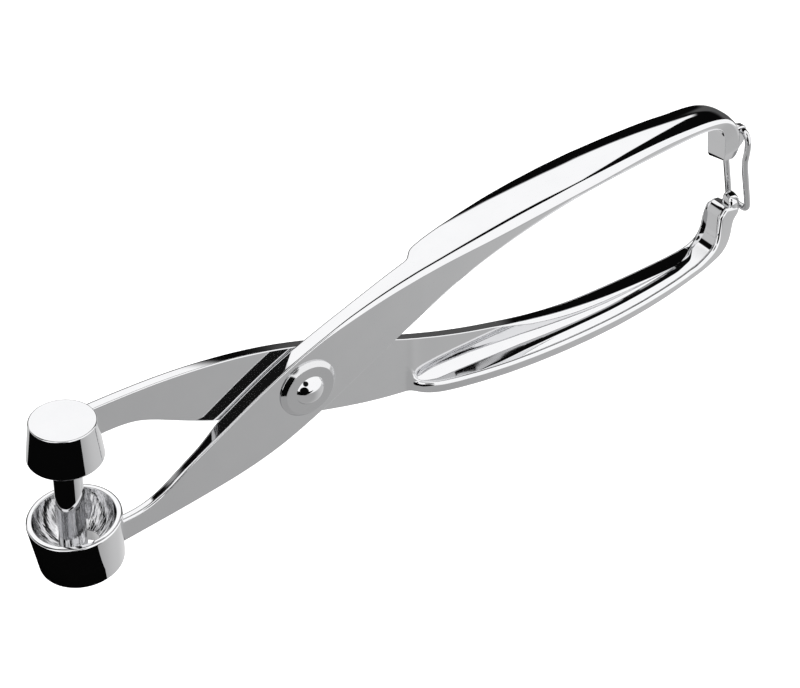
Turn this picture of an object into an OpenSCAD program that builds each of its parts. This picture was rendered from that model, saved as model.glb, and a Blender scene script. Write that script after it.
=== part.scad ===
// Hand tool that pushes the stone out of an olive. Two cast levers cross at a rivet.
// The front one carries the cup and the upper handle, the rear one the plunger and
// the lower handle. A wire bail on the upper handle's end holds the pair shut.
// Drawn about the rivet's axis, with X towards the handles, Y away from the viewer
// and Z up, then moved so that the cup and the lower handle stand on Z = 0.

/* [Cup] */
// Outside diameter at the rim
cup_d = 22; // [21:0.5:23]
// Outside diameter at the foot
foot_d = 19.8; // [18.6:0.2:20.6]
// Height from foot to rim
cup_h = 13.15; // [12.5:0.25:14]
// Width of the flat ring on the rim
rim_w = 1.45; // [1.1:0.1:1.8]
// Diameter of the throat that the stone drops through
throat_d = 9.8; // [9.6:0.2:10.6]
// Distance of the cup's axis from the rivet
reach = 60.6; // [60:0.2:61]

/* [Plunger] */
// Diameter of the head's flat top
head_top_d = 15; // [14:0.5:16]
// Diameter of the head's lower edge
head_low_d = 17.4; // [16.4:0.2:18]
// Height of the head
head_h = 10.1; // [9:0.5:11]
// Diameter of the rod
rod_d = 6.6; // [6:0.2:6.8]
// Length of rod that shows below the head
rod_l = 27.4; // [25:0.2:28]
// Lean of the plunger with the bail closed, zero at the end of a squeeze
lean = 4.7; // [4:0.1:5]

/* [Levers] */
// Thickness of the front lever at the rivet
front_t = 4.3; // [4:0.1:4.6]
// Thickness of the front lever's arm and of its handle's side
arm_t = 2.4; // [2.2:0.1:2.8]
// Thickness of the rear lever
rear_t = 2.9; // [2.6:0.1:3.2]
// Thickness of the strap along each handle
strap_t = 2.7; // [2.3:0.1:3]

/* [Rivet and spring] */
// Diameter of the rivet's shank
shank_d = 6; // [5:0.2:6]
// Diameter of the rivet's domed head
dome_d = 7.7; // [7:0.1:8.5]
// Diameter of the washer under the domed head
washer_d = 15.3; // [14:0.2:16]
// Diameter of the opening spring's wire
spring_wire = 0.8; // [0.7:0.05:0.85]
// Mean radius of the spring's coil
spring_r = 6.2; // [6:0.1:6.4]

/* [Bail] */
// Diameter of the bail's wire
bail_wire = 1.75; // [1.5:0.05:1.8]
// Distance between the two legs, middle to middle
bail_w = 7.4; // [7.3:0.1:7.8]

/* [Hidden] */
$fn = 72;
gap = 0.05;
cup_foot = -23.75;
head_at = [-59.15, 17.6];
bail_y = -0.9;
lug_y = 3;
hinge = [138, 17.9];
crossbar = [140.4, -7];
frame_x = (reach + cup_d / 2 - crossbar[0] - bail_wire / 2) / 2;
pocket_r = [4.2, 8];
pocket_y = [-2.35, 1.35];

// Side view of the front lever: along the top from cup to handle, down the lug
// at the handle's end, and back along the lower edge.
front_top = [[-55, -14.4], [-47.5, -14.3], [-41.5, -12.7], [-33, -7.6], [-22, -1.4],
  [-8, 6.4], [6, 12.3], [20, 16.3], [34, 19], [50, 20.9], [68, 22.8], [86, 24.5],
  [104, 26.4], [116, 27], [124.6, 26.8], [129.8, 25.7], [132.9, 23.6], [134.8, 20.6], [135.7, 17.2],
  [135.8, 15]];
front_low = [[135.3, 13], [134, 11.9], [132.6, 11.6], [131.2, 11.7], [130.5, 12.6], [130.2, 15.6],
  [129.8, 19], [128.7, 22.3], [125.5, 23.7], [118, 24], [106, 23.3], [93, 22.3], [80, 20.8], [66, 18],
  [52, 14.1], [40, 9.5], [27, 3.1], [14, -3.8], [2, -9.8], [-9, -14.3], [-20, -17],
  [-33, -18.8], [-46, -20.2], [-55, -21]];

// Side view of the rear lever, in the same order.
rear_top = [[-55, 17], [-42, 16.8], [-30, 16], [-17, 14.1], [-4, 10.9], [10, 6], [22, 1],
  [34, -4.1], [46, -8.4], [58, -11.9], [70, -14.8], [82, -16.8], [96, -17.6], [112, -17.7],
  [123, -17.3], [128.4, -15.8], [130.6, -12.6], [131.2, -9], [132.2, -6.2], [133.6, -4.8]];
rear_tip = [[135.4, -4.8], [137.6, -5.1], [138.8, -5.9]];
rear_low = [[139, -7.2], [138.5, -8.5], [137.1, -9.2], [136, -10.6], [135.2, -13], [133.4, -16],
  [130.3, -18.4], [125.6, -19.9],
  [117, -21.3], [106, -22.7], [95, -23.5], [84, -23.75], [72, -23.5], [58, -22.7],
  [45, -21.4], [32, -20], [20, -17.6], [8, -14.1], [-4, -9.9], [-14, -5.7], [-24, -1.1],
  [-31, 2.6], [-37, 6], [-42, 8.2], [-47, 9], [-55, 8.9]];

// Plan view of the free edge of each handle's strap.
front_plan = [[26, -1], [31, 1], [34, 3.3], [37, 4.9], [42, 6.1], [50, 7.3], [61, 8.7],
  [75, 9.4], [89, 9.1], [101, 8.1], [112, 6.8], [122, 5.8], [130, 5.6], [134, 4.5], [137, 3.2]];
rear_plan = [[33, 3], [33.6, -0.6], [36, -3], [40, -4.6], [46, -5.8], [54, -6.7],
  [64, -7.3], [77, -7.7], [91, -7.8], [104, -7.5], [116, -6.8], [125, -5.8], [132, -4.5],
  [139, -3.6]];

// A smooth curve through the points p, in n steps between each two.
function pt(p, i) = p[max(0, min(len(p) - 1, i))];
function bend(a, b, c, d, t) =
  (2 * b + (c - a) * t + (2 * a - 5 * b + 4 * c - d) * t * t
  + (3 * b - a - 3 * c + d) * t * t * t) / 2;
function curve(p, n = 3) = [
  for (i = [0 : len(p) - 2]) for (s = [0 : n - 1])
    bend(pt(p, i - 1), pt(p, i), pt(p, i + 1), pt(p, i + 2), s / n),
  p[len(p) - 1]];
// The curve c moved t to its right.
function aside(c, t) = [for (i = [0 : len(c) - 1])
  let (d = pt(c, i + 1) - pt(c, i - 1)) c[i] + t * [d[1], -d[0]] / norm(d)];
function back(c) = [for (i = [len(c) - 1 : -1 : 0]) c[i]];
function part_of(p, low, high) = [for (q = p) if (q[0] >= low && q[0] <= high) q];

// A side view given thickness, from y0 to y1.
module slab(y0, y1) {
  translate([0, y1, 0])
    rotate([90, 0, 0])
      linear_extrude(y1 - y0)
        children();
}
// A round piece about the rivet's axis, its profile given as radius and -Y.
module turned() {
  rotate([90, 0, 0])
    rotate_extrude()
      children();
}
module upright(y, d, x, z, l) {
  translate([x, y, z])
    rotate([90, 0, 0])
      cylinder(d = d, h = l, center = true);
}

module front_side() {
  polygon(concat(curve(front_top), curve(front_low)));
}
module rear_side() {
  polygon(concat(curve(rear_top), curve(rear_tip), curve(rear_low)));
}
module strap(edge, t) {
  polygon(concat(edge, back(aside(edge, t))));
}
module cup_body() {
  translate([-reach, 0, cup_foot])
    cylinder(d1 = foot_d, d2 = cup_d, h = cup_h, $fn = 120);
}
module head_body() {
  translate([head_at[0], 0, head_at[1]])
    rotate([0, lean, 0])
      translate([0, 0, -head_h])
        cylinder(d1 = head_low_d, d2 = head_top_d, h = head_h, $fn = 120);
}
// Ring that the opening spring lies in, with a slot for the leg that leaves it at
// angle a, on one side or the other.
module pocket(y0, y1, a, side) {
  translate([0, y1, 0])
    rotate([90, 0, 0])
      difference() {
        union() {
          cylinder(r = pocket_r[1], h = y1 - y0);
          rotate([0, 0, a])
            translate([spring_r - 0.7, side * 3.6 - 3.6, 0])
              cube([1.4, 7.2, y1 - y0]);
        }
        translate([0, 0, -1])
          cylinder(r = pocket_r[0], h = y1 - y0 + 2);
      }
}

front_slot = 115;
rear_slot = -112;

module front_lever_shape() {
  edge = curve(part_of(front_top, 19, 140));
  plan = curve(front_plan);
  slab(-front_t, arm_t - front_t)
    front_side();
  intersection() {
    slab(-front_t, -gap)
      front_side();
    translate([0, 0, -40])
      linear_extrude(80)
        polygon([[-31, -front_t], [-31, arm_t - front_t], [-21, -gap], [30, -gap],
          [38, arm_t - front_t], [38, -front_t]]);
  }
  intersection() {
    slab(-front_t, 12)
      strap(edge, strap_t);
    translate([0, 0, -40])
      linear_extrude(80)
        polygon(concat([[139, -front_t - 1], [26, -front_t - 1]], plan));
  }
  intersection() {
    slab(-front_t, lug_y)
      front_side();
    union() {
      translate([127, -front_t, 14])
        cube([9, front_t + lug_y, 12]);
      translate([127, -front_t, 11])
        cube([9, front_t + lug_y - 2.4, 12]);
      translate([127, lug_y - 2.4, 14])
        rotate([0, 90, 0])
          cylinder(r = 2.4, h = 9);
    }
  }
  bail_ear();
}
// The ear on the lug's outer face that the bail's top bar turns in.
module bail_ear() {
  slab(bail_y - 1.1, bail_y + 1.1) {
    translate(hinge)
      circle(r = 1.9);
    polygon([hinge + [0, 1.9], hinge + [-4, 2.4], hinge + [-3.6, -5.6], hinge + [-1.4, -5.9],
      hinge + [1.2, -4.6], hinge + [1.9, 0]]);
  }
}

module rear_lever_shape() {
  edge = curve(back(part_of(rear_low, 31, 136)));
  plan = curve(rear_plan);
  difference() {
    slab(gap, gap + rear_t)
      rear_side();
    translate([136.2, 1.7, -17])
      cube([4, 3, 17]);
  }
  intersection() {
    slab(-10, gap + rear_t)
      strap(edge, -strap_t);
    translate([0, 0, -40])
      linear_extrude(80)
        polygon(concat([[139, gap + rear_t + 1], [33, gap + rear_t + 1]], plan));
  }
  // the raised bead along the strap's free edge
  intersection() {
    slab(-10, gap + rear_t)
      strap(edge, -strap_t - 1.1);
    translate([0, 0, -40])
      linear_extrude(80)
        strap(plan, -2);
  }
  // the upturned lug, with the nose that the bail lies against
  intersection() {
    slab(-3.6, gap + rear_t)
      rear_side();
    difference() {
      translate([129, -5, -16])
        cube([10, 9, 14]);
      // relief on the far side, where the bail's leg passes
      translate([136.2, 1.7, -17])
        cube([4, 3, 17]);
    }
  }
  intersection() {
    slab(bail_y - 2.6, bail_y + 1.9)
      polygon(concat([[138.9, -6.5], [134.6, -6.5]], curve([[135, -4.6], [135.6, -3], [136.6, -1.8],
        [137.7, -1.3], [138.6, -1.9], [139.1, -3.4], [139.1, -5]])));
    translate([134, 0, 0])
      rotate([90, 0, 90])
        linear_extrude(6)
          polygon(concat([[-3.5, -7]], curve([[-3.5, -3.6], [-2.9, -2], [-1.6, -1.2], [-0.3, -1.9],
            [0.6, -3.4], [0.9, -5]]), [[0.9, -7]]));
  }
}

// Front lever: cup arm, hub and upper handle in one casting.
module cup_lever() {
  color("gainsboro")
    difference() {
      front_lever_shape();
      cup_body();
      upright(-2, shank_d + 0.04, 0, 0, 8);
      pocket(pocket_y[0], 1, front_slot, 1);
      upright(bail_y, bail_wire + 0.1, hinge[0], hinge[1], 8);
    }
}

// Rear lever: plunger arm, hub and lower handle in one casting.
module head_lever() {
  color("silver")
    difference() {
      rear_lever_shape();
      head_body();
      upright(2, shank_d + 0.1, 0, 0, 8);
      pocket(-1, pocket_y[1], rear_slot, -1);
    }
}

// Turned cup: a bowl that holds the olive over an open throat.
module cup() {
  low = asin(throat_d / (cup_d - 2 * rim_w));
  bowl = [for (i = [0 : 10])
    let (a = low + i * (90 - low) / 10)
      [(cup_d / 2 - rim_w) * sin(a), cup_h - 10.6 * cos(a)]];
  color("lightgray")
    translate([-reach, 0, cup_foot])
      rotate_extrude($fn = 120)
        polygon(concat([[foot_d / 2 - 0.5, 0], [foot_d / 2, 0.6], [cup_d / 2, cup_h - 0.5],
          [cup_d / 2 - 0.4, cup_h]], back(bowl), [[throat_d / 2 + 0.7, 0]]));
}

// Turned plunger head, blind from below for the rod.
module plunger_head() {
  color("lightgray")
    translate([head_at[0], 0, head_at[1]])
      rotate([0, lean, 0])
        rotate_extrude($fn = 120)
          polygon([[0, 0], [head_top_d / 2 - 0.3, 0], [head_top_d / 2, -0.35],
            [head_low_d / 2, 0.5 - head_h], [head_low_d / 2 - 0.5, -head_h],
            [rod_d / 2 + 0.01, -head_h], [rod_d / 2 + 0.01, 1.5 - head_h / 2],
            [0, 1.5 - head_h / 2]]);
}

// Polished rod that pushes the stone out.
module plunger_rod() {
  color("white")
    translate([head_at[0], 0, head_at[1]])
      rotate([0, lean, 0])
        rotate_extrude($fn = 96)
          polygon([[0, 1.4 - head_h / 2], [rod_d / 2, 1.4 - head_h / 2],
            [rod_d / 2, 0.4 - head_h - rod_l], [rod_d / 2 - 0.4, -head_h - rod_l],
            [0, -head_h - rod_l]]);
}

// Rivet: shank, domed head in front and flatter closed head behind.
module pivot_rivet() {
  front = front_t + 1.2;
  rear = rear_t + 2 * gap + 1;
  rise = 2.1;
  ball = (dome_d * dome_d / 4 + rise * rise) / (2 * rise);
  color("white")
    turned()
      polygon(concat([[0, -rear - 1.3], [3.2, -rear - 1.1], [3.9, -rear - 0.5], [3.9, -rear],
        [shank_d / 2, -rear], [shank_d / 2, front]],
        [for (i = [0 : 12]) let (a = asin(dome_d / 2 / ball) * (12 - i) / 12)
          [ball * sin(a), front + rise - ball + ball * cos(a)]]));
}

// Washer in front, with a wide chamfer.
module front_washer() {
  color("gray")
    turned()
      polygon([[shank_d / 2 + 0.02, front_t], [washer_d / 2, front_t], [washer_d / 2, front_t + 0.3],
        [washer_d / 2 - 1.1, front_t + 1.2], [shank_d / 2 + 0.02, front_t + 1.2]]);
}

// Washer behind, which the rear lever turns against.
module rear_washer() {
  y = -rear_t - 2 * gap;
  color("gray")
    turned()
      polygon([[shank_d / 2 + 0.02, y], [6.5, y], [6.5, y - 0.7], [6.2, y - 1],
        [shank_d / 2 + 0.02, y - 1]]);
}

// Opening spring: a coil of about one and a half turns in the ring between the
// levers, ending in two straight legs, one in each lever's slot.
coil_low = pocket_y[0] + 0.15 + spring_wire / 2;
coil_high = pocket_y[1] - 0.15 - spring_wire / 2;
coil_turn = 360 + front_slot - rear_slot;
coil_steps = 40;
// One station on the wire: angle, place along Y, and distance out along the leg.
coil = concat(
  [for (s = [6, 3]) [front_slot, coil_low, s]],
  [for (i = [0 : coil_steps])
    [front_slot - coil_turn * i / coil_steps,
      coil_low + (coil_high - coil_low) * i / coil_steps, 0]],
  [for (s = [3, 6]) [rear_slot, coil_high, -s]]);
function outward(a) = [cos(a), 0, sin(a)];
function station(c) = spring_r * outward(c[0]) + [0, c[1], 0] + c[2] * [-sin(c[0]), 0, cos(c[0])];
coil_self = min([for (i = [0 : len(coil) - 1]) for (j = [i + 16 : 1 : len(coil) - 1])
  norm(station(coil[i]) - station(coil[j]))]) - spring_wire;
echo("least gap of the spring to itself", coil_self);

module opening_spring() {
  last = len(coil) - 1;
  ring = [for (c = coil) for (k = [0 : 5])
    station(c) + spring_wire / 2 * (cos(60 * k) * outward(c[0]) + [0, sin(60 * k), 0])];
  sides = [for (i = [0 : last - 1]) for (k = [0 : 5])
    let (a = 6 * i + k, b = 6 * i + (k + 1) % 6) each [[a, b, b + 6], [a, b + 6, a + 6]]];
  ends = [for (k = [1 : 4]) each [[0, k + 1, k], [6 * last, 6 * last + k, 6 * last + k + 1]]];
  color("dimgray")
    polyhedron(points = ring, faces = concat(sides, ends));
}

// Bail: one closed loop of bent wire, with a straight bar at the top that turns in the
// ear, two cranked legs and a crossbar. Stations give X, distance from the middle, and Z.
bail_half = curve([[hinge[0], 0, hinge[1]], [hinge[0], 1.2, hinge[1]],
  [hinge[0], 2.5, hinge[1] - 0.5], [hinge[0], 3.35, hinge[1] - 1.6],
  [hinge[0], bail_w / 2, hinge[1] - 3.2], [hinge[0] - 0.1, bail_w / 2, 12.8],
  [hinge[0] - 0.4, bail_w / 2, 8.9], [139, bail_w / 2, 1.8],
  [crossbar[0] - 0.1, bail_w / 2, crossbar[1] + 1.4],
  [crossbar[0], bail_w / 2 - 0.4, crossbar[1] + 0.35], [crossbar[0], bail_w / 2 - 1.4, crossbar[1]],
  [crossbar[0], 0, crossbar[1]]]);
bail_loop = concat(
  [for (p = bail_half) [p[0], bail_y + p[1], p[2]]],
  [for (i = [len(bail_half) - 2 : -1 : 1])
    [bail_half[i][0], bail_y - bail_half[i][1], bail_half[i][2]]]);
bail_sides = 16;

module locking_bail() {
  n = len(bail_loop);
  m = bail_sides;
  ring = [for (i = [0 : n - 1])
    let (d = bail_loop[(i + 1) % n] - bail_loop[(i + n - 1) % n],
      u = cross(d, [1, 0, 0]) / norm(cross(d, [1, 0, 0])), v = cross(d, u) / norm(cross(d, u)))
      for (k = [0 : m - 1])
        bail_loop[i] + bail_wire / 2 * (cos(360 * k / m) * u + sin(360 * k / m) * v)];
  color("dimgray")
    polyhedron(points = ring, faces = [for (i = [0 : n - 1]) for (k = [0 : m - 1])
      let (a = m * i, b = m * ((i + 1) % n), l = (k + 1) % m)
        each [[a + k, b + l, a + l], [a + k, b + k, b + l]]]);
}

translate([frame_x, 0, -cup_foot]) {
  cup_lever();
  cup();
  head_lever();
  plunger_head();
  plunger_rod();
  pivot_rivet();
  front_washer();
  rear_washer();
  opening_spring();
  locking_bail();
}
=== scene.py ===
import math

import bmesh
import bpy
import numpy as np
from mathutils import Matrix, Vector


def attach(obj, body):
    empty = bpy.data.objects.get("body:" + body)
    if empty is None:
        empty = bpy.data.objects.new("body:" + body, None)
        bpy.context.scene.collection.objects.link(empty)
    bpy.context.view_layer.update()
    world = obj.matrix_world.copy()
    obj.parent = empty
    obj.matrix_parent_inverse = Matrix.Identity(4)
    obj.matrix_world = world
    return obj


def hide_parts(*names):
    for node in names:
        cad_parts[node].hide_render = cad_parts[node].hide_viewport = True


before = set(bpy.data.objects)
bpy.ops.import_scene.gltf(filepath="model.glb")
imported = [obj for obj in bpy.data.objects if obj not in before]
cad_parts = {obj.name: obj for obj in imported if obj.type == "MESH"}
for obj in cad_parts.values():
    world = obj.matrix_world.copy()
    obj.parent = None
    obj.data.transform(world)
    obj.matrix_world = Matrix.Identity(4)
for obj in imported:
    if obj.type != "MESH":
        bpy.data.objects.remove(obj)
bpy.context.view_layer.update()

# Front lever: a zinc casting with the cup's arm, the hub and the upper handle in one.
# Its handle is a thin web with a wide strap along the top, and it ends in a rounded lug
# that carries the bail's ear. Polished, then chrome plated.

# Every piece is drawn in millimetres about the rivet's axis, as the casting's drawing is.
DRAWING_TO_FRAME = Matrix.Translation((-0.0348375, 0, 0.02375)) @ Matrix.Scale(0.001, 4)


def feed(node, inputs):
    """Set a node's inputs, each to a value or from the output that feeds it."""
    for name, value in inputs.items():
        if isinstance(value, bpy.types.NodeSocket):
            node.id_data.links.new(value, node.inputs[name])
        else:
            node.inputs[name].default_value = value


def grow(tree, kind, take, inputs=None, **settings):
    """Add a node to a tree and give back the output that is wanted of it."""
    node = tree.nodes.new("ShaderNode" + kind)
    for name, value in settings.items():
        setattr(node, name, value)
    feed(node, inputs or {})
    return node.outputs[take]


def chrome(name, tone, rough, ripple):
    """Plated metal: soft cloudiness in the gloss, hairline rubs, and a casting's faint waves."""
    mat = bpy.data.materials.new(name)
    mat.use_nodes = True
    tree = mat.node_tree
    place = grow(tree, "TexCoord", "Object")
    cloud = grow(tree, "TexNoise", "Fac", {"Vector": place, "Scale": 140, "Detail": 5})
    gloss = grow(tree, "MapRange", "Result", {
        "Value": cloud, "From Min": 0.35, "From Max": 0.75, "To Min": rough,
        "To Max": rough + 0.035})
    tint = grow(tree, "Mix", "Result", {
        "Factor": cloud, "A": (tone, tone, tone * 1.01, 1),
        "B": (tone * 0.94, tone * 0.945, tone * 0.96, 1)}, data_type="RGBA")
    stretch = grow(tree, "Mapping", "Vector", {"Vector": place, "Scale": (60, 900, 900)})
    rubs = grow(tree, "TexNoise", "Fac", {"Vector": stretch, "Scale": 4, "Detail": 3})
    wave = grow(tree, "TexNoise", "Fac", {"Vector": place, "Scale": 60, "Detail": 1})
    fine = grow(tree, "Bump", "Normal", {"Height": rubs, "Strength": 0.02, "Distance": 0.00002})
    broad = grow(tree, "Bump", "Normal", {
        "Height": wave, "Strength": ripple, "Distance": 0.0004, "Normal": fine})
    feed(tree.nodes["Principled BSDF"], {
        "Metallic": 1.0, "Base Color": tint, "Roughness": gloss, "Normal": broad})
    return mat


def through(rows, step=0.4, passes=9):
    """Rows of a station table at close steps: a cubic spline in the first four columns, the
    places of the two outlines, and eased straight runs in the others."""
    rows = np.array(rows, float)
    run = np.concatenate([[0], np.cumsum(np.hypot(*np.diff(rows[:, :2], axis=0).T)
                                         + np.hypot(*np.diff(rows[:, 2:4], axis=0).T)) / 2])
    n, h = len(run), np.diff(run)
    bend = np.eye(n)
    load = np.zeros((n, 4))
    for i in range(1, n - 1):
        bend[i, i - 1:i + 2] = h[i - 1], 2 * (h[i - 1] + h[i]), h[i]
        load[i] = 6 * ((rows[i + 1, :4] - rows[i, :4]) / h[i]
                       - (rows[i, :4] - rows[i - 1, :4]) / h[i - 1])
    curl = np.linalg.solve(bend, load)
    at = np.linspace(0, run[-1], int(run[-1] / step))
    i = np.clip(np.searchsorted(run, at, side="right") - 1, 0, n - 2)
    a, b, w = (run[i + 1] - at)[:, None], (at - run[i])[:, None], h[i][:, None]
    places = (curl[i] * a ** 3 + curl[i + 1] * b ** 3) / (6 * w) \
        + (rows[i, :4] / w - curl[i] * w / 6) * a + (rows[i + 1, :4] / w - curl[i + 1] * w / 6) * b
    sizes = np.array([np.interp(at, run, column) for column in rows[:, 4:].T]).T
    for _ in range(passes):
        sizes[1:-1] = (sizes[:-2] + 2 * sizes[1:-1] + sizes[2:]) / 4
    return np.hstack([places, sizes]).tolist()


def eased(corners, segments=6):
    """A closed outline with its corners rounded. Each corner is (a, b, radius)."""
    out = []
    for i, (a, b, radius) in enumerate(corners):
        here = Vector((a, b))
        cut, ways = radius, []
        for other in (corners[i - 1], corners[(i + 1) % len(corners)]):
            way = Vector(other[:2]) - here
            if radius:
                cut = min(cut, 0.97 * way.length * radius / (radius + other[2]))
            ways.append(way.normalized())
        if not radius:
            out.append(here)
            continue
        start, end = here + ways[0] * cut, here + ways[1] * cut
        for k in range(segments + 1):
            # a conic that is a true arc on a square corner
            t = k / segments
            w0, w1, w2 = (1 - t) ** 2, 1.4142 * t * (1 - t), t * t
            out.append((start * w0 + here * w1 + end * w2) / (w0 + w1 + w2))
    return out


def loft(rings):
    """A closed skin over rings that have the same number of points."""
    bm = bmesh.new()
    verts = [bm.verts.new(p) for p in rings[0]]
    count = len(verts)
    edges = [bm.edges.new((verts[i], verts[(i + 1) % count])) for i in range(count)]
    bmesh.ops.contextual_create(bm, geom=edges)
    for ring in rings[1:]:
        made = bmesh.ops.extrude_edge_only(bm, edges=edges)["geom"]
        fresh = {v for v in made if isinstance(v, bmesh.types.BMVert)}
        verts = [next(e.other_vert(v) for e in v.link_edges if e.other_vert(v) in fresh)
                 for v in verts]
        for vert, point in zip(verts, ring):
            vert.co = point
        edges = [bm.edges.get((verts[i], verts[(i + 1) % count])) for i in range(count)]
    bmesh.ops.contextual_create(bm, geom=edges)
    bmesh.ops.recalc_face_normals(bm, faces=bm.faces)
    return bm


def enlist(mesh, name, body, node, material):
    """Put a finished mesh in the scene, on its body and in place of its CAD node."""
    mesh.polygons.foreach_set("use_smooth", [True] * len(mesh.polygons))
    mesh.materials.clear()
    mesh.materials.append(material)
    obj = bpy.data.objects.new(name, mesh)
    bpy.context.scene.collection.objects.link(obj)
    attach(obj, body)
    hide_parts(node)
    return obj


def piece(bm, name, body, node, material):
    """A piece from its drawing, with flat faces kept flat beside their rounded edges."""
    bmesh.ops.transform(bm, matrix=DRAWING_TO_FRAME, verts=bm.verts)
    mesh = bpy.data.meshes.new(name)
    bm.to_mesh(mesh)
    bm.free()
    obj = enlist(mesh, name, body, node, material)
    mesh.set_sharp_from_angle(angle=math.radians(50))
    flat = obj.modifiers.new("even faces", "WEIGHTED_NORMAL")
    flat.weight = 50
    flat.keep_sharp = True


def joined(whole, part):
    """Add one mesh under construction to another."""
    held = bpy.data.meshes.new("held")
    part.to_mesh(held)
    part.free()
    whole.from_mesh(held)
    bpy.data.meshes.remove(held)
    return whole


def ramp(value, start, end):
    """0 up to start, 1 past end."""
    return min(max((value - start) / (end - start), 0), 1)


def across(outer, inner):
    """Places (depth from the outer outline, y) on the section between two outline points."""
    start = Vector((outer[0], 0, outer[1]))
    way = Vector((inner[0], 0, inner[1])) - start
    height = way.length
    way.normalize()
    return height, lambda depth, y: start + way * depth + Vector((0, y, 0))


# x and z on the outer outline, x and z on the inner, then: back of the web, far edge of
# the strap, its thickness, the crown's drop at the near edge, its rise, its drop at the far
# edge, the crest's place across (0 near, 1 far), the near edge's rounding, and how wide
# the fall along the near edge is.
FRONT_STATIONS = [
    (-51.2, -14.4, -51.2, -20.7, -1.9, -1.9, 2.7, 0, 0, 0, 0.6, 0.7, 1),
    (-47, -14.24, -47, -20.3, -1.9, -1.9, 2.7, 0, 0, 0, 0.6, 0.7, 1),
    (-41, -12.46, -41, -19.69, -1.9, -1.9, 2.7, 0, 0, 0, 0.6, 0.8, 1),
    (-35, -8.81, -35, -19.04, -1.9, -1.9, 2.7, 0, 0, 0, 0.6, 0.8, 1),
    (-29, -5.32, -29, -18.31, -1.6, -1.6, 2.7, 0, 0, 0, 0.6, 0.7, 1),
    (-22, -1.4, -22, -17.35, -0.1, -0.1, 2.7, 0, 0, 0, 0.6, 0.5, 1),
    (-15, 2.63, -15, -15.97, -0.05, -0.05, 2.7, 0, 0, 0, 0.6, 0.5, 1),
    (-8, 6.4, -8, -13.96, -0.05, -0.05, 2.7, 0, 0, 0, 0.6, 0.5, 1),
    (-1, 9.59, -1, -11.15, -0.05, -0.05, 2.7, 0, 0, 0, 0.6, 0.5, 1),
    (6, 12.3, 6, -7.89, -0.05, 0, 2.7, 0, 0, 0, 0.6, 0.55, 1),
    (13, 14.5, 13, -4.32, -0.05, 0.3, 2.7, 0, 0, 0, 0.6, 0.9, 1),
    (20, 16.3, 20, -0.61, -0.05, 0.95, 2.7, 0, 0, 0, 0.6, 1.1, 1),
    (27, 17.8, 27, 3.1, -0.1, 1.8, 2.7, 0, 0, 0, 0.6, 1.3, 1),
    (31, 18.5, 31, 5.1, -0.9, 2.35, 2.7, 0, 0, 0, 0.7, 1.4, 1),
    (34.2, 19.02, 34.2, 6.7, -1.7, 2.8, 2.7, 0, 0, 0, 0.75, 1.45, 1),
    (35.0, 19.13, 35.0, 7.1, -1.85, 4.6, 2.7, 0, 0, 0.02, 0.8, 1.5, 1),
    (35.9, 19.25, 35.9, 7.53, -1.9, 5.35, 2.7, 0, 0, 0.04, 0.8, 1.5, 1),
    (37.6, 19.48, 37.6, 8.35, -1.9, 5.95, 2.7, 0, 0, 0.07, 0.8, 1.5, 1),
    (41, 19.92, 41, 9.95, -1.9, 6.75, 2.7, 0, 0, 0.1, 0.8, 1.6, 1),
    (46, 20.5, 46, 12.0, -1.9, 7.6, 2.7, 0, 0.03, 0.15, 0.78, 1.8, 1),
    (53, 21.22, 53, 14.4, -1.9, 8.6, 2.7, 0, 0.08, 0.24, 0.74, 2.1, 1),
    (61, 22.08, 61, 16.75, -1.9, 9.5, 2.7, 0, 0.14, 0.38, 0.68, 2.3, 1),
    (70, 23.0, 70, 18.92, -1.9, 10.1, 2.6, 0, 0.2, 0.55, 0.63, 2.3, 1),
    (79, 23.85, 79, 20.65, -1.9, 10.3, 2.4, 0.11, 0.24, 0.68, 0.6, 2, 1.6),
    (88, 24.7, 88, 21.8, -1.9, 10, 2.3, 0.24, 0.26, 0.72, 0.57, 1.75, 2.1),
    (97, 25.7, 97, 22.6, -1.9, 9.1, 2.3, 0.35, 0.3, 0.82, 0.53, 1.45, 2.7),
    (105, 26.47, 105, 23.2, -1.9, 8.3, 2.3, 0.4, 0.35, 1, 0.5, 1.2, 3.1),
    (112, 26.9, 112, 23.7, -1.9, 7.7, 2.3, 0.5, 0.4, 1.2, 0.46, 1.05, 3.7),
    (118.5, 27.02, 118.2, 24.0, -1.9, 7.1, 2.3, 0.65, 0.45, 1.35, 0.45, 0.95, 4.6),
    (124.4, 26.82, 123, 23.95, -1.9, 6.8, 2.3, 0.75, 0.45, 1.35, 0.45, 0.95, 4.9),
    (128.2, 26.2, 126, 23.55, -1.5, 6.5, 2.4, 0.75, 0.4, 1.1, 0.45, 0.95, 4.7),
    (130.9, 25.2, 128, 22.65, 0.5, 6.1, 2.8, 0.6, 0.3, 0.8, 0.46, 1.0, 3.6),
    (132.9, 23.6, 129.3, 21.0, 2.6, 5.2, 3.2, 0.4, 0.2, 0.5, 0.48, 1.1, 2.8),
    (134.2, 21.8, 129.9, 19.2, 3.1, 4.3, 3.6, 0.2, 0.15, 0.3, 0.5, 1.2, 2),
    (135.1, 19.7, 130.1, 17.3, 3.1, 3.6, 3.8, 0.1, 0.1, 0.1, 0.5, 1.2, 2),
    (135.6, 17.4, 130.25, 15.6, 3.0, 3.2, 4, 0, 0.1, 0.1, 0.5, 1.2, 2),
    (135.8, 15.2, 130.4, 14.0, 3.0, 3.1, 4, 0, 0.1, 0.1, 0.5, 1.2, 2),
    (135.75, 13.4, 130.6, 12.75, 3.0, 3.1, 4, 0, 0.1, 0.1, 0.5, 1.2, 2),
    (135.4, 12.2, 131.0, 11.85, 2.95, 3.05, 3.4, 0, 0.05, 0.1, 0.5, 1.0, 2),
    (134.6, 11.4, 131.7, 11.3, 2.4, 2.5, 2, 0, 0, 0, 0.5, 0.6, 2),
]
FRONT_FACE = -4.3
EDGE_RADIUS, CURL_RADIUS = 0.6, 1.9
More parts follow.
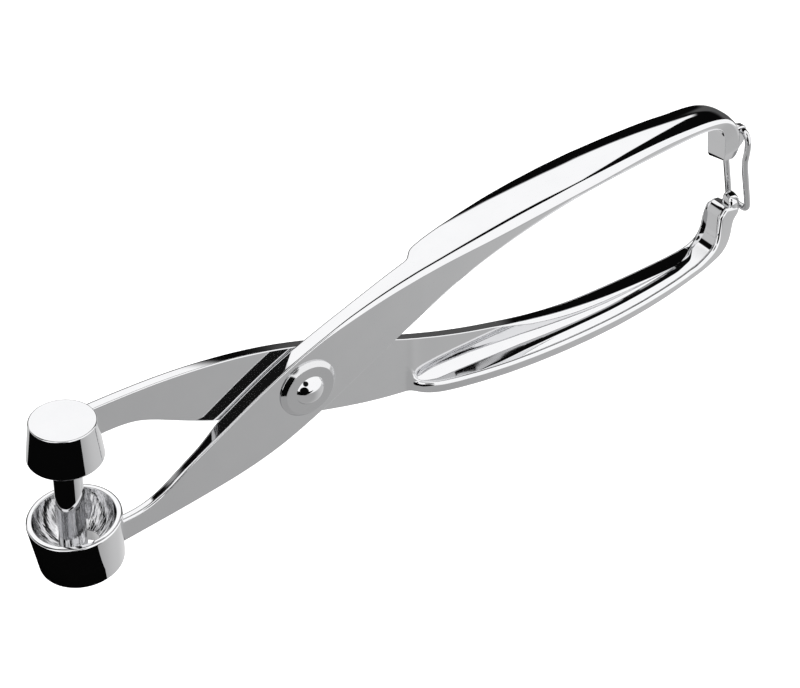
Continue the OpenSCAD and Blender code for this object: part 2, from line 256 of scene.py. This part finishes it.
# past LUG_START the castings turn into their lugs, whose ends taper and, in front, lean
LUG_START, FRONT_TAPER_START, REAR_TAPER_START = 130, 15, -6.8
FRONT_TAPER, REAR_TAPER, LUG_LEAN = 0.25, 0.3, 0.2


def front_section(row):
    (outer_x, outer_z, inner_x, inner_z, back, free, strap, near_drop, rise, far_drop, crest,
     rounding, fall_width) = row
    height, at = across((outer_x, outer_z), (inner_x, inner_z))
    free = max(free, back + 0.02)
    depth = min(strap, 0.62 * height)
    heel = min(depth + 0.8, 0.8 * height)
    face, lean = FRONT_FACE, 0
    if outer_x > LUG_START:
        face += FRONT_TAPER * max(FRONT_TAPER_START - outer_z, 0)
        lean = LUG_LEAN * ramp(outer_z, FRONT_TAPER_START, FRONT_TAPER_START - 3)

    def crown(y):
        t = (y - face) / (free - face)
        if t < crest:
            return (near_drop + rise) * max(0, 1 - (y - face) / fall_width) ** 1.3 - rise
        return (far_drop + rise) * ((t - crest) / (1 - crest)) ** 2 - rise

    down = min(rounding, 0.93 * height - near_drop)
    out = min(rounding, 0.4 * (free - face))
    section = []
    for k in range(13):
        turn = math.pi / 2 * k / 12
        y = face + out * (1 - math.cos(turn))
        section.append(Vector((down * (1 - math.sin(turn)) + crown(y), y)))
    # the far edge is rounder where the handle curls down to the lug
    edge = crown(free)
    brim = EDGE_RADIUS
    if free - face > 5:
        brim += (CURL_RADIUS - EDGE_RADIUS) * ramp(outer_x, 114, 126)
    last = free - brim - 0.1
    for k in range(1, 15):
        y = face + out + (last - face - out) * k / 15
        section.append(Vector((crown(y), y)))
    section += eased([(crown(last), last, 0), (edge, free, brim),
                      (max(depth, edge + 0.6), free, 0.8), (max(heel, edge + 0.9), back, 1.0),
                      (height, back, 0.8), (height, face, 0.5)])
    return [at(d, y) - Vector((0, 0, lean * (y - face))) for d, y in section]


FRONT_CHROME = chrome("front lever chrome", 0.80, 0.03, 0.02)
lever = loft([front_section(row) for row in through(FRONT_STATIONS)])

# the ear for the bail, cast on the lug's outer face
EAR_OUTLINE = [(135, 12.3), (137.2, 12.1), (139.3, 14.2), (139.9, 17.4), (139.2, 18.9),
               (137.8, 19.3), (135, 19.2)]
EAR_NEAR, EAR_FAR, EAR_CORNER, EAR_EDGE = -2.0, 0.2, 0.9, 0.45
ear = bmesh.new()
rim = [ear.verts.new((x, EAR_NEAR, z)) for x, z in
       eased([(x, z, EAR_CORNER) for x, z in EAR_OUTLINE], 3)]
bmesh.ops.contextual_create(ear, geom=[
    ear.edges.new((rim[i], rim[(i + 1) % len(rim)])) for i in range(len(rim))])
pushed = bmesh.ops.extrude_face_region(ear, geom=ear.faces[:])["geom"]
bmesh.ops.translate(ear, vec=(0, EAR_FAR - EAR_NEAR, 0),
                    verts=[v for v in pushed if isinstance(v, bmesh.types.BMVert)])
bmesh.ops.recalc_face_normals(ear, faces=ear.faces)
ear_edges = [e for e in ear.edges if abs(e.verts[0].co.y - e.verts[1].co.y) < 0.001]
bmesh.ops.bevel(ear, geom=ear_edges, offset=EAR_EDGE, offset_type="OFFSET", segments=3,
                profile=0.5, affect="EDGES", material=-1)
piece(joined(lever, ear), "front_lever", "cup_side", "cup_lever", FRONT_CHROME)

# Rear lever: the second casting, with the plunger's arm, the hub and the lower handle.
# The strap runs along the bottom of the handle with a bead on its free edge, so the
# handle is a shallow trough, and it turns up at the end into a lug with a nose.

REAR_BACK = 2.95
# x and z on the outer outline, x and z on the inner, then: the web's near face, the
# strap's near edge, its thickness, how fully the trough is formed, the bead's height, the
# floor's rise towards the web, and the relief for the bail's leg.
REAR_STATIONS = [
    (-55, 8.9, -55, 17.0, 0.05, 0.05, 2.7, 0, 0, 0, 0),
    (-48, 9.03, -48, 16.94, 0.05, 0.05, 2.7, 0, 0, 0, 0),
    (-42, 8.2, -42, 16.8, 0.05, 0.05, 2.7, 0, 0, 0, 0),
    (-36, 5.47, -36, 16.51, 0.05, 0.05, 2.7, 0, 0, 0, 0),
    (-30, 2.05, -30, 16.0, 0.05, 0.05, 2.7, 0, 0, 0, 0),
    (-24, -1.1, -24, 15.26, 0.05, 0.05, 2.7, 0, 0, 0, 0),
    (-17, -4.36, -17, 14.1, 0.05, 0.05, 2.7, 0, 0, 0, 0),
    (-10, -7.45, -10, 12.55, 0.05, 0.05, 2.7, 0, 0, 0, 0),
    (-4, -9.9, -4, 10.9, 0.05, 0.05, 2.7, 0, 0, 0, 0),
    (3, -12.43, 3, 8.58, 0.05, 0.05, 2.7, 0, 0, 0, 0),
    (10, -14.74, 10, 6.0, 0.05, 0.05, 2.7, 0, 0, 0, 0),
    (16, -16.54, 16, 3.57, 0.05, 0.05, 2.7, 0, 0, 0, 0),
    (22, -18.08, 22, 1.0, 0.05, 0.05, 2.7, 0, 0, 0, 0),
    (28, -19.33, 28, -1.59, 0.05, 0.05, 2.7, 0, 0, 0, 0),
    (32.0, -20.0, 32.0, -3.3, 0.05, 0.0, 2.7, 0, 0, 0, 0),
    (32.8, -20.15, 32.8, -3.6, 0.05, -1.3, 2.7, 0.5, 0.3, 0.2, 0),
    (34.0, -20.4, 34.0, -4.1, 0.05, -2.6, 2.7, 0.9, 0.7, 0.6, 0),
    (36, -20.7, 36, -4.85, 0.05, -3.8, 2.7, 1, 0.9, 0.9, 0),
    (38.5, -21.0, 38.5, -5.8, 0.05, -4.7, 2.7, 1, 0.9, 1.1, 0),
    (43, -21.45, 43, -7.4, 0.05, -5.6, 2.7, 1, 0.9, 1.15, 0),
    (50, -22.1, 50, -9.65, 0.05, -6.5, 2.7, 1, 0.9, 1.25, 0),
    (58, -22.75, 58, -11.9, 0.05, -7.2, 2.7, 1, 0.9, 1.15, 0),
    (66, -23.25, 66, -13.92, 0.05, -7.6, 2.7, 1, 0.9, 0.95, 0),
    (75, -23.6, 75, -15.77, -0.4, -7.9, 2.7, 1, 0.9, 0.75, 0),
    (84, -23.75, 84, -16.97, -0.9, -8.0, 2.7, 1, 0.9, 0.6, 0),
    (94, -23.55, 94, -17.55, -1.3, -7.95, 2.6, 1, 0.9, 0.5, 0),
    (104, -22.9, 104, -17.73, -1.4, -7.7, 2.5, 1, 0.9, 0.45, 0),
    (112, -22.1, 112, -17.7, -1.4, -7.3, 2.4, 1, 0.9, 0.42, 0),
    (118.5, -21.2, 118.2, -17.6, -1.3, -6.8, 2.2, 1, 0.9, 0.4, 0),
    (124.9, -20.25, 123, -17.3, -0.6, -6.2, 2.3, 1, 0.9, 0.3, 0),
    (129.0, -19.4, 126.6, -16.6, 1.3, -5.7, 2.9, 1, 0.9, 0, 0),
    (132.6, -18.1, 129, -15.1, 1.9, -5.2, 3.6, 1, 0.9, 0, 0),
    (134.9, -16.1, 130.3, -13.2, 2.2, -4.7, 4.4, 1, 0.8, 0, 0),
    (136.1, -13.7, 130.9, -11.2, 2.3, -4.3, 4.8, 1, 0.7, 0, 0),
    (136.7, -11.5, 131.15, -9.2, 2.35, -4.0, 5.1, 1, 0.5, 0, 0.3),
    (137.2, -9.9, 131.5, -7.8, 2.4, -3.8, 5.3, 1, 0.3, 0, 1.2),
    (138.0, -8.7, 131.9, -6.8, 2.4, -3.7, 6.2, 1, 0.15, 0, 1.25),
    (138.8, -7.7, 132.3, -6.0, 2.4, -3.7, 6.5, 1, 0.05, 0, 1.25),
    (139.0, -6.7, 132.9, -5.4, 2.4, -3.6, 6.1, 1, 0, 0, 1.25),
    (138.8, -6.0, 133.6, -5.05, 2.3, -3.4, 5.2, 1, 0, 0, 1.2),
    (138.2, -5.55, 134.4, -4.9, 2.1, -3.1, 3.8, 1, 0, 0, 1.1),
]


FLOOR_SLOPE, TOP_SLOPE = 0.27, 0.23


def rear_section(row):
    (outer_x, outer_z, inner_x, inner_z, web, free, strap, trough, bead, rise, relief) = row
    height, at = across((outer_x, outer_z), (inner_x, inner_z))
    depth = min(strap, 0.97 * height)
    lip = depth + bead
    back = REAR_BACK
    if outer_x > LUG_START:
        back -= REAR_TAPER * max(outer_z - REAR_TAPER_START, 0)
    web = min(web, back - 0.3)
    # the lip, the bead's inner side, then the floor, which leans up to the web
    bead_in = min(free + 1.6, web - 0.9)
    knee = max(bead_in + 0.3, web - rise / FLOOR_SLOPE)
    rise = FLOOR_SLOPE * (web - knee) if rise > 0 else 0
    formed = [lip, lip, depth, depth, min(depth + rise, 0.97 * height)]
    rims = [free, min(free + 1.3, web - 0.6), bead_in, knee, web]
    plain = [height * (0.1 + 0.1 * k) for k in range(5)]
    flat = [free + (web - free) * k / 5 for k in range(5)]
    sweep = 2.4 - 1.1 * ramp(outer_x, 50, 85)
    waist = min(0.5 * height, 3.2)
    fall = TOP_SLOPE * (back - web) * trough * ramp(outer_x, 58, 70) * ramp(outer_x, 128, 122)
    corners = [(0, back - relief, 0.9), (0, free, 0.4 + 0.7 * trough)]
    for k, radius in enumerate((2.4, 0.7, 0.5, 0.6, sweep)):
        corners.append((plain[k] + (formed[k] - plain[k]) * trough,
                        flat[k] + (rims[k] - flat[k]) * trough, max(0.02, radius * trough)))
    corners += [(height - fall, web, 0.3 + fall), (height, back, 0.8), (waist, back, 0),
                (waist - 0.3, back - relief, 0)]
    return [at(d, y) for d, y in eased(corners)]


REAR_CHROME = chrome("rear lever chrome", 0.80, 0.03, 0.02)
lever = loft([rear_section(row) for row in through(REAR_STATIONS)])

# the nose, a rounded hump that stands on the lug between the bail's legs
NOSE_AT, NOSE_HALVES, NOSE_SQUARE, NOSE_SLOPE = (137.35, -1.3, -5), (1.95, 2.15, 2.6), 3, 0.6
nose = bmesh.new()
bmesh.ops.create_uvsphere(nose, u_segments=48, v_segments=32, radius=1)
for v in nose.verts:
    x, y, z = v.co
    # a sphere squared off, so its sides stand upright, with its top sloped to one side
    swell = sum(abs(c) ** NOSE_SQUARE for c in (x, y, z)) ** (1 / NOSE_SQUARE)
    lift = NOSE_SLOPE * y / swell * min(1, 3 * z) if z > 0 else 0
    v.co = [middle + half * c / swell + rise for middle, half, c, rise in
            zip(NOSE_AT, NOSE_HALVES, (x, y, z), (0, 0, lift))]
piece(joined(lever, nose), "rear_lever", "plunger_side", "head_lever", REAR_CHROME)

# Cup: turned from bar, with a flat ring on the rim, a smooth bowl for the olive and an
# open throat that the stone drops through. Plated like the levers.

CUP_AT = (-60.6, 0, -23.75)
RIM_RADIUS, BOWL_RADIUS, THROAT_RADIUS = 11, 9.55, 4.9
FOOT_RADIUS, CUP_HEIGHT, BOWL_DEPTH = 9.9, 13.15, 10.6


def turned(profile, at, tilt=0, steps=160):
    """A lathe-turned piece, from a closed profile of (radius, height) points."""
    bm = bmesh.new()
    verts = [bm.verts.new((r, 0, z)) for r, z in profile]
    edges = [bm.edges.new((a, b)) for a, b in zip(verts, verts[1:])]
    bmesh.ops.spin(bm, geom=verts + edges, cent=(0, 0, 0), axis=(0, 0, 1), dvec=(0, 0, 0),
                   angle=math.tau, steps=steps, use_merge=True, use_duplicate=False)
    bmesh.ops.remove_doubles(bm, verts=bm.verts, dist=0.0005)
    bmesh.ops.recalc_face_normals(bm, faces=bm.faces)
    bmesh.ops.transform(bm, matrix=Matrix.Translation(at) @ Matrix.Rotation(tilt, 4, "Y"),
                        verts=bm.verts)
    return bm


throat_turn = math.asin(THROAT_RADIUS / BOWL_RADIUS)
bowl = []
for k in range(29):
    turn = math.pi / 2 + (throat_turn - math.pi / 2) * k / 28
    bowl.append((BOWL_RADIUS * math.sin(turn), CUP_HEIGHT - BOWL_DEPTH * math.cos(turn), 0))
bowl[0] = (BOWL_RADIUS, CUP_HEIGHT, 0.18)
bowl[-1] = (bowl[-1][0], bowl[-1][1], 0.15)
section = eased([(FOOT_RADIUS - 0.3, 0, 0), (FOOT_RADIUS, 0, 0.9), (RIM_RADIUS, CUP_HEIGHT, 0.55)]
                + bowl + [(THROAT_RADIUS + 0.6, 0, 0.2), (THROAT_RADIUS + 1.2, 0, 0)], 4)
section = [tuple(p) for p in section]
CUP_CHROME = chrome("cup chrome", 0.80, 0.03, 0.01)
# the bowl was polished by hand, which left streaks that run down to the throat: they haze and
# ripple the gloss, and their strongest parts darken the colour nearly to black as painted dark
# reflections
tree = CUP_CHROME.node_tree
centre = grow(tree, "VectorMath", "Vector", {
    0: grow(tree, "TexCoord", "Object"), 1: DRAWING_TO_FRAME @ Vector(CUP_AT)},
    operation="SUBTRACT")
plan = grow(tree, "VectorMath", "Vector", {0: centre, 1: (1, 1, 0)}, operation="MULTIPLY")
heading = grow(tree, "VectorMath", "Vector", {0: plan}, operation="NORMALIZE")
drift = grow(tree, "VectorMath", "Vector", {0: centre, 1: (30, 30, 30), 2: heading},
             operation="MULTIPLY_ADD")
streak = grow(tree, "TexNoise", "Fac", {
    "Vector": drift, "Scale": 2.6, "Detail": 3, "Roughness": 0.65})
reach = grow(tree, "VectorMath", "Value", {0: plan}, operation="LENGTH")
inside = grow(tree, "Math", "Value", {0: reach, 1: (BOWL_RADIUS + 0.02) / 1000},
              operation="LESS_THAN")
polish_streaks_and_painted_reflection = grow(tree, "Math", "Value", {0: streak, 1: inside}, operation="MULTIPLY")
haze = grow(tree, "MapRange", "Result", {
    "Value": polish_streaks_and_painted_reflection, "From Min": 0.3, "From Max": 0.75, "To Min": 0.04, "To Max": 0.09})
# painted reflection: where the streaks are strongest the bowl's colour turns nearly black,
# standing in for dark reflections in the bowl
painted_dark_reflection = grow(tree, "MapRange", "Result", {
    "Value": polish_streaks_and_painted_reflection, "From Min": 0.53, "From Max": 0.7, "To Max": 0.5},
    interpolation_type="SMOOTHSTEP")
painted_reflection_tint = grow(tree, "Mix", "Result", {
    "Factor": painted_dark_reflection, "A": (0.8, 0.8, 0.81, 1), "B": (0.05, 0.05, 0.055, 1)}, data_type="RGBA")
rubbed = grow(tree, "Bump", "Normal", {"Height": polish_streaks_and_painted_reflection, "Strength": 0.22, "Distance": 0.0008})
feed(tree.nodes["Principled BSDF"], {"Base Color": painted_reflection_tint, "Roughness": haze, "Normal": rubbed})
piece(turned(section + section[:1], CUP_AT), "cup_bowl", "cup_side", "cup", CUP_CHROME)

# Plunger head: a turned and plated cone with a flat top, fixed to the end of the rear
# lever's arm. The rod is pressed into it from below.

HEAD_AT = (-58.95, 0, 17.6)
LEAN = math.radians(4.7)
HEAD_TOP, HEAD_LOW, HEAD_HEIGHT, ROD_RADIUS = 7.5, 8.7, 10.1, 3.3
section = eased([(0.001, 0, 0), (2, 0, 0), (4.5, 0, 0), (HEAD_TOP, 0, 0.3),
                 (HEAD_LOW, -HEAD_HEIGHT, 0.5), (6, -HEAD_HEIGHT, 0),
                 (ROD_RADIUS + 0.02, -HEAD_HEIGHT, 0.2), (ROD_RADIUS + 0.02, -3.6, 0),
                 (0.001, -3.6, 0)], 4)
HEAD_CHROME = chrome("plunger head chrome", 0.80, 0.03, 0.02)
piece(turned([tuple(p) for p in section], HEAD_AT, LEAN), "plunger_cap", "plunger_side",
      "plunger_head", HEAD_CHROME)

# Plunger rod: ground and polished steel, its end slightly eased so it pushes the stone
# out cleanly.

ROD_END = -HEAD_HEIGHT - 28.3
section = eased([(0.001, -3.7, 0), (ROD_RADIUS, -3.7, 0.1), (ROD_RADIUS, ROD_END, 0.5),
                 (1.6, ROD_END, 0), (0.001, ROD_END, 0)], 4)
ROD_STEEL = chrome("plunger rod polish", 0.78, 0.02, 0.0)
piece(turned([tuple(p) for p in section], HEAD_AT, LEAN), "plunger_pin", "plunger_side",
      "plunger_rod", ROD_STEEL)

# Rivet: a steel shank through both hubs with a domed head in front and a flat closed
# head behind.

TO_PIVOT = Matrix.Rotation(math.pi / 2, 4, "X")


def on_pivot(profile):
    """Turned about the rivet's axis: heights count towards the viewer."""
    bm = turned(profile, (0, 0, 0))
    bmesh.ops.transform(bm, matrix=TO_PIVOT, verts=bm.verts)
    return bm


DOME_RADIUS, DOME_RISE, SHANK_RADIUS = 3.85, 2.1, 3
DOME_FOOT, REAR_FACE = 5.5, -4.0
ball = (DOME_RADIUS ** 2 + DOME_RISE ** 2) / (2 * DOME_RISE)
spread = math.asin(DOME_RADIUS / ball)
dome = [(ball * math.sin(spread * k / 20) + 0.0005, DOME_FOOT + DOME_RISE - ball
         + ball * math.cos(spread * k / 20), 0) for k in range(21)]
section = eased([(0.0005, REAR_FACE - 1.3, 0), (3.2, REAR_FACE - 1.1, 0.5),
                 (3.9, REAR_FACE - 0.5, 0.3), (3.9, REAR_FACE, 0), (SHANK_RADIUS, REAR_FACE, 0),
                 (SHANK_RADIUS, DOME_FOOT, 0), (DOME_RADIUS - 0.1, DOME_FOOT, 0)] + dome[::-1], 3)
RIVET_CHROME = chrome("rivet chrome", 0.80, 0.025, 0.0)
piece(on_pivot([tuple(p) for p in section]), "hub_rivet", "cup_side", "pivot_rivet",
      RIVET_CHROME)

# Washers: one in front with a wide chamfer under the rivet's dome, one behind that the
# rear lever turns against. Turned, so their faces carry fine rings.


def washer_steel(name):
    mat = chrome(name, 0.72, 0.06, 0.0)
    tree = mat.node_tree
    centred = grow(tree, "Mapping", "Vector", {
        "Vector": grow(tree, "TexCoord", "Object"), "Location": -DRAWING_TO_FRAME.translation})
    flat = grow(tree, "VectorMath", "Vector", {0: centred, 1: (1, 0, 1)}, operation="MULTIPLY")
    reach = grow(tree, "VectorMath", "Value", {0: flat}, operation="LENGTH")
    turns = grow(tree, "Math", "Value", {0: reach, 1: 40000}, operation="MULTIPLY")
    rings = grow(tree, "Math", "Value", {0: turns}, operation="SINE")
    cut = grow(tree, "Bump", "Normal", {"Height": rings, "Strength": 0.08, "Distance": 0.00001})
    feed(tree.nodes["Principled BSDF"], {"Normal": cut})
    return mat


WASHER_STEEL = washer_steel("washer steel")
HOLE = SHANK_RADIUS + 0.02
FRONT_WASHER = [(HOLE, 4.3, 0), (7.65, 4.3, 0.05), (7.65, 4.6, 0.08), (6.55, 5.5, 0.12),
                (HOLE, 5.5, 0)]
REAR_WASHER = [(HOLE, -3, 0), (6.5, -3, 0.05), (6.5, -3.8, 0.2), (6.1, -4, 0.1), (HOLE, -4, 0)]
for name, node, corners in (("washer_in_front", "front_washer", FRONT_WASHER),
                            ("washer_behind", "rear_washer", REAR_WASHER)):
    section = [tuple(p) for p in eased(corners, 4)]
    piece(on_pivot(section + section[:1]), name, "cup_side", node, WASHER_STEEL)

# Opening spring: one and a half turns of hard wire round the shank between the levers,
# with a straight leg into each of them.


def wire_piece(points, radius, closed, name, body, node, material, sides):
    """Round wire along a line of points, or along a closed smooth loop near them."""
    curve = bpy.data.curves.new(name, "CURVE")
    curve.dimensions = "3D"
    line = curve.splines.new("NURBS" if closed else "POLY")
    line.points.add(len(points) - 1)
    for point, place in zip(line.points, points):
        point.co = (*(DRAWING_TO_FRAME @ Vector(place)), 1)
    if closed:
        line.order_u = 4
        line.use_cyclic_u = True
        line.resolution_u = 6
    curve.bevel_depth = radius / 1000
    curve.bevel_resolution = sides
    curve.use_fill_caps = not closed
    wire = bpy.data.objects.new(name, curve)
    bpy.context.scene.collection.objects.link(wire)
    bpy.context.view_layer.update()
    mesh = bpy.data.meshes.new_from_object(
        wire.evaluated_get(bpy.context.evaluated_depsgraph_get()))
    bpy.data.objects.remove(wire)
    mesh.name = name
    enlist(mesh, name, body, node, material)


COIL_RADIUS, COIL_LOW, COIL_HIGH, COIL_WIRE, COIL_STEPS = 6.2, -1.8, 0.8, 0.4, 160
LEG_ANGLES, LEG_POINTS = (115, -112), (0.5, 3, 6)


def on_coil(degrees, y, out=0):
    """A point on the coil, or on a straight leg that leaves it there."""
    a = math.radians(degrees)
    return (COIL_RADIUS * math.cos(a) - out * math.sin(a), y,
            COIL_RADIUS * math.sin(a) + out * math.cos(a))


whole_turn = 360 + LEG_ANGLES[0] - LEG_ANGLES[1]
coil = [on_coil(LEG_ANGLES[0], COIL_LOW, out) for out in LEG_POINTS[::-1]]
coil += [on_coil(LEG_ANGLES[0] - whole_turn * k / COIL_STEPS,
                 COIL_LOW + (COIL_HIGH - COIL_LOW) * k / COIL_STEPS)
         for k in range(COIL_STEPS + 1)]
coil += [on_coil(LEG_ANGLES[1], COIL_HIGH, -out) for out in LEG_POINTS]
SPRING_STEEL = chrome("spring wire", 0.5, 0.22, 0.0)
wire_piece(coil, COIL_WIRE, False, "hub_spring", "cup_side", "opening_spring",
           SPRING_STEEL, 4)

# Bail: one loop of bright drawn wire. Its top bar turns in the ear, its legs step
# inwards below it, and its crossbar lies against the lower lug's nose.

BAIL_MIDDLE, BAIL_RADIUS = -0.9, 0.875
# half the loop, from the middle of the top bar to the middle of the crossbar
BAIL_HALF = [
    (138, 0, 17.9), (138, 1.2, 17.9), (138, 2.1, 17.7), (138, 2.9, 17.1), (138, 3.4, 16.2),
    (138, 3.68, 15.1), (138, 3.7, 14), (137.95, 3.7, 12.6), (137.8, 3.7, 11.2),
    (137.6, 3.7, 10.1), (137.6, 3.7, 9), (137.75, 3.7, 7.8), (138.3, 3.7, 5), (139.1, 3.7, 1),
    (139.8, 3.7, -2.5), (140.2, 3.7, -4.6), (140.35, 3.68, -5.7), (140.4, 3.4, -6.5),
    (140.4, 2.8, -6.95), (140.4, 2, -7), (140.4, 1, -7), (140.4, 0, -7)]
loop = [(x, BAIL_MIDDLE - y, z) for x, y, z in BAIL_HALF]
loop += [(x, BAIL_MIDDLE + y, z) for x, y, z in BAIL_HALF[-2:0:-1]]
BAIL_WIRE = chrome("bail wire", 0.72, 0.04, 0.0)
wire_piece(loop, BAIL_RADIUS, True, "wire_bail", "bail", "locking_bail", BAIL_WIRE, 8)

# Camera: set from the photograph's outlines, looking down at the cup from the front left.

CAMERA_AT = Vector((-190.0, -280.7, 292.9)) / 1000
FOCAL_PIXELS, PHOTO_PIXELS, SENSOR = 1761.7, 800, 36
SIDEWAYS, HEIGHT, ROLL = (math.radians(a) for a in (-33.294, 39.079, -1.911))
back = Vector((math.sin(SIDEWAYS) * math.cos(HEIGHT), -math.cos(SIDEWAYS) * math.cos(HEIGHT),
               math.sin(HEIGHT)))
right = (-back).cross(Vector((0, 0, 1))).normalized()
up = right.cross(-back)
right, up = (math.cos(ROLL) * right + math.sin(ROLL) * up,
             -math.sin(ROLL) * right + math.cos(ROLL) * up)
lens = bpy.data.cameras.new("view")
lens.sensor_width = SENSOR
lens.lens = FOCAL_PIXELS / PHOTO_PIXELS * SENSOR
camera = bpy.data.objects.new("view", lens)
camera.matrix_world = Matrix.Translation(CAMERA_AT) @ Matrix(
    (right, up, back)).transposed().to_4x4()
bpy.context.scene.collection.objects.link(camera)
bpy.context.scene.camera = camera

# Studio: a white table under large white screens, with dark gaps between them, which is
# what bright plating mirrors. It doesn't mirror the table, but the screens below that.

# low enough for the lower handle, which swings down as the tool is opened
TABLE_DROP = 0.06


def staged(name, bm, finish, look):
    """Put one of the studio's surfaces in the scene, in a finish with the look's inputs."""
    mesh = bpy.data.meshes.new(name)
    bm.to_mesh(mesh)
    bm.free()
    obj = bpy.data.objects.new(name, mesh)
    bpy.context.scene.collection.objects.link(obj)
    mat = bpy.data.materials.new(finish)
    mat.use_nodes = True
    feed(mat.node_tree.nodes["Principled BSDF"], look)
    mesh.materials.append(mat)
    return obj


sheet = bmesh.new()
bmesh.ops.create_grid(sheet, x_segments=1, y_segments=1, size=3)
bmesh.ops.translate(sheet, vec=(0, 0, -TABLE_DROP), verts=sheet.verts)
table = staged("table", sheet, "white table", {
    "Base Color": (0.9, 0.9, 0.9, 1), "Roughness": 0.9, "Emission Color": (1, 1, 1, 1)})
table.visible_glossy = False
tree = table.data.materials[0].node_tree
feed(tree.nodes["Principled BSDF"], {"Emission Strength": grow(
    tree, "Math", "Value", {0: grow(tree, "LightPath", "Is Camera Ray"), 1: 0.5},
    operation="MULTIPLY")})

# black cards under the tool, seen only in the plating: a big one to the left of the cup, and
# a small one behind the bail that darkens the lower handle's trough
CARDS = [
    [(-59.5, -9), (-57.2, -12.5), (-55.6, -20.6), (-33.1, -63.1), (-23.7, -79.4), (40, -200),
     (110, -340), (-600, -500), (-600, 520), (-250, 260), (-88, 53), (-62, 16), (-62, 1)],
    [(118, 14), (143, 14), (143, 30), (118, 30)]]
CARD_HEIGHT = -24.25
sheet = bmesh.new()
for outline in CARDS:
    bmesh.ops.contextual_create(sheet, geom=[
        sheet.verts.new(DRAWING_TO_FRAME @ Vector((x, y, CARD_HEIGHT))) for x, y in outline])
cards = staged("black cards", sheet, "black felt", {
    "Base Color": (0.002, 0.002, 0.002, 1), "Specular IOR Level": 0})
cards.visible_camera = cards.visible_diffuse = cards.visible_shadow = False

world = bpy.data.worlds.new("studio")
bpy.context.scene.world = world
world.use_nodes = True
tree = world.node_tree
tree.nodes.clear()
look = grow(tree, "TexCoord", "Generated")


def toward(direction, low, high):
    """How far a look lies towards a direction: 0 below low, 1 above high, eased between."""
    dot = grow(tree, "VectorMath", "Value", {0: look, 1: Vector(direction).normalized()},
               operation="DOT_PRODUCT")
    return grow(tree, "MapRange", "Result", {"Value": dot, "From Min": low, "From Max": high},
                interpolation_type="SMOOTHSTEP")


def pair(operation, a, b):
    return grow(tree, "Math", "Value", {0: a, 1: b}, operation=operation)


def blend(share, a, b):
    """a where share is 0, b where it is 1."""
    kept = pair("MULTIPLY", pair("SUBTRACT", 1, share), a)
    return pair("ADD", pair("MULTIPLY", share, b), kept)


# below the horizon: a grey sweep that is lighter to the right and at the back
low = pair("ADD", pair("MULTIPLY", toward((1, 0.2, 0), 0, 0.8), 0.23),
           pair("ADD", pair("MULTIPLY", toward((0, 1, 0), 0, 0.6), 0.15), 0.43))
# above it: a white screen in front, a dark gap overhead, a white screen leaning at the back
front_screen = toward((0, -1, 0.02), -0.03, 0.01)
back_screen = pair("MULTIPLY", toward((0, 0.85, -0.53), 0.02, 0.06), toward((0, 0, 1), 0.48, 0.54))
back_screen = pair("MULTIPLY", back_screen, toward((1, 0.37, 0), -0.03, 0.03))
back_screen = pair("MULTIPLY", back_screen, toward((-1, 0, 0), -0.68, -0.62))
grey_gap = pair("MULTIPLY", toward((0, 0, -1), -0.45, -0.3), toward((1, 0, 0), 0.55, 0.7))
gap = blend(pair("MULTIPLY", grey_gap, toward((0, -1, 0), -0.74, -0.68)), 0.003, 0.1)
side_wall = pair("MULTIPLY", toward((-1, -0.37, 0), -0.03, 0.03), toward((0, 0, -1), -0.58, -0.5))
gap = blend(side_wall, gap, 0.62)
high = blend(pair("MAXIMUM", front_screen, back_screen), gap, 1.2)
studio = blend(toward((0, 0, 1), -0.31, -0.25), low, high)
# two black flags in front on the left, about where the photographer stands
studio = blend(toward((-0.58, -0.80, 0.02), 0.89, 0.91), studio, 0.003)
studio = blend(toward((-0.27, -0.65, 0.70), 0.955, 0.97), studio, 0.01)
shade = blend(grow(tree, "LightPath", "Is Camera Ray"), studio, 1.0)
sky = grow(tree, "Background", "Background", {"Color": (1, 1, 1, 1), "Strength": shade})
feed(tree.nodes.new("ShaderNodeOutputWorld"), {"Surface": sky})

# one broad soft lamp overhead evens the light on the table
LAMP_AT = Vector((-0.2, -0.1, 1.0))
lamp = bpy.data.lights.new("overhead", "AREA")
lamp.shape = "DISK"
lamp.size = 0.8
lamp.energy = 6
overhead = bpy.data.objects.new("overhead", lamp)
overhead.location = LAMP_AT
overhead.rotation_euler = Vector((0, 0, 1)).rotation_difference(LAMP_AT).to_euler()
overhead.visible_glossy = False
bpy.context.scene.collection.objects.link(overhead)

bpy.context.scene.view_settings.view_transform = "Standard"
